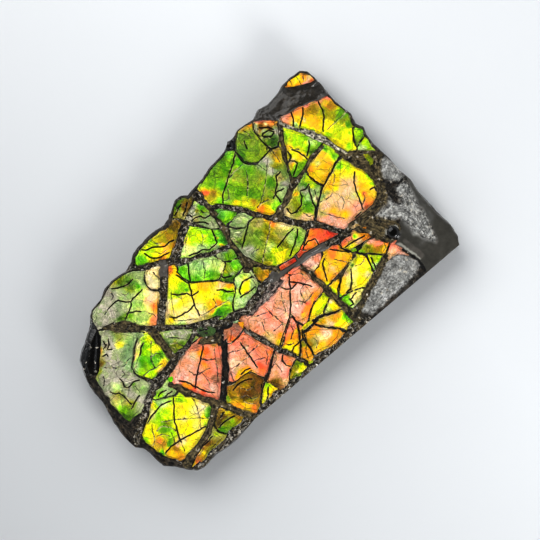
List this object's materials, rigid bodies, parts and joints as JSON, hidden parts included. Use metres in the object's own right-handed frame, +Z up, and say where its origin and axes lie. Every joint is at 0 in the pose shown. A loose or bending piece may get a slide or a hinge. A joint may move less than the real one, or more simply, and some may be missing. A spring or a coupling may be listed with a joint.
{
  "type": "ammolite specimen",
  "caption": "Flat hand specimen of ammolite: iridescent fossil shell, broken into plates that veins of dark shale hold in place, on a shale slab with one sawn edge.",
  "frame": {"origin": "under the middle of the slab, on the plane that it lies on", "axes": "+X along the sawn edge, +Y away from the sawn edge, +Z up out of the shell face"},
  "size_m": [0.0582, 0.0364, 0.0069],
  "materials": {
    "shale": "dark shale, satin to glossy, rough in the veins",
    "shell_green": "polished iridescent shell, glossy",
    "shell_olive": "polished iridescent shell, glossy",
    "shell_lime": "polished iridescent shell, glossy",
    "shell_yellow": "polished iridescent shell, glossy",
    "shell_orange": "polished iridescent shell, glossy",
    "shell_red": "polished iridescent shell, glossy",
    "shell_salmon": "polished iridescent shell, glossy",
    "shell_smoke": "polished iridescent shell, glossy"
  },
  "bodies": {
    "root": {"matrix": "shale", "shell_leaf_window": "shell_green", "shell_mint": "shell_green", "shell_mint_chip": "shell_green", "shell_emerald": "shell_green", "shell_sage": "shell_green", "shell_spring_green": "shell_green", "shell_edge_chip": "shell_green", "shell_green_heart": "shell_green", "shell_mint_crust": "shell_green", "shell_pistachio": "shell_green", "shell_olive_crust": "shell_olive", "shell_olive_chip": "shell_olive", "shell_olive_leaf": "shell_olive", "shell_olive_shoulder": "shell_olive", "shell_olive_toe": "shell_olive", "shell_olive_glass": "shell_olive", "shell_umber_fan": "shell_olive", "shell_strip_upper": "shell_olive", "shell_strip_lower": "shell_olive", "shell_lime_step": "shell_lime", "shell_lime_band": "shell_lime", "shell_lime_edge": "shell_lime", "shell_lime_wedge": "shell_lime", "shell_pale_lime": "shell_lime", "shell_lime_kidney": "shell_lime", "shell_citrus": "shell_lime", "shell_amber_shoulder": "shell_yellow", "shell_lemon_field": "shell_yellow", "shell_lemon_eye": "shell_yellow", "shell_top_plate": "shell_yellow", "shell_lemon_slope": "shell_yellow", "shell_yellow_strip": "shell_yellow", "shell_lemon_corner": "shell_yellow", "shell_gold": "shell_yellow", "shell_honey": "shell_yellow", "shell_gold_corner": "shell_yellow", "shell_lemon_sliver": "shell_yellow", "shell_tip_cap": "shell_orange", "shell_apricot_wedge": "shell_orange", "shell_peach_fan": "shell_orange", "shell_tangerine": "shell_orange", "shell_orange_ledge": "shell_orange", "shell_sunset_tongue": "shell_orange", "shell_rust_eye": "shell_orange", "shell_flame": "shell_red", "shell_coral_olive": "shell_red", "shell_coral_point": "shell_red", "shell_ember": "shell_red", "shell_red_sliver": "shell_red", "shell_salmon_tail": "shell_red", "shell_pink": "shell_salmon", "shell_salmon_main": "shell_salmon", "shell_salmon_quad": "shell_salmon", "shell_salmon_chip": "shell_salmon", "shell_smoke_upper": "shell_smoke", "shell_cream": "shell_smoke", "shell_pale_wedge": "shell_smoke", "shell_smoke_lower": "shell_smoke"}
  },
  "joints": []
}
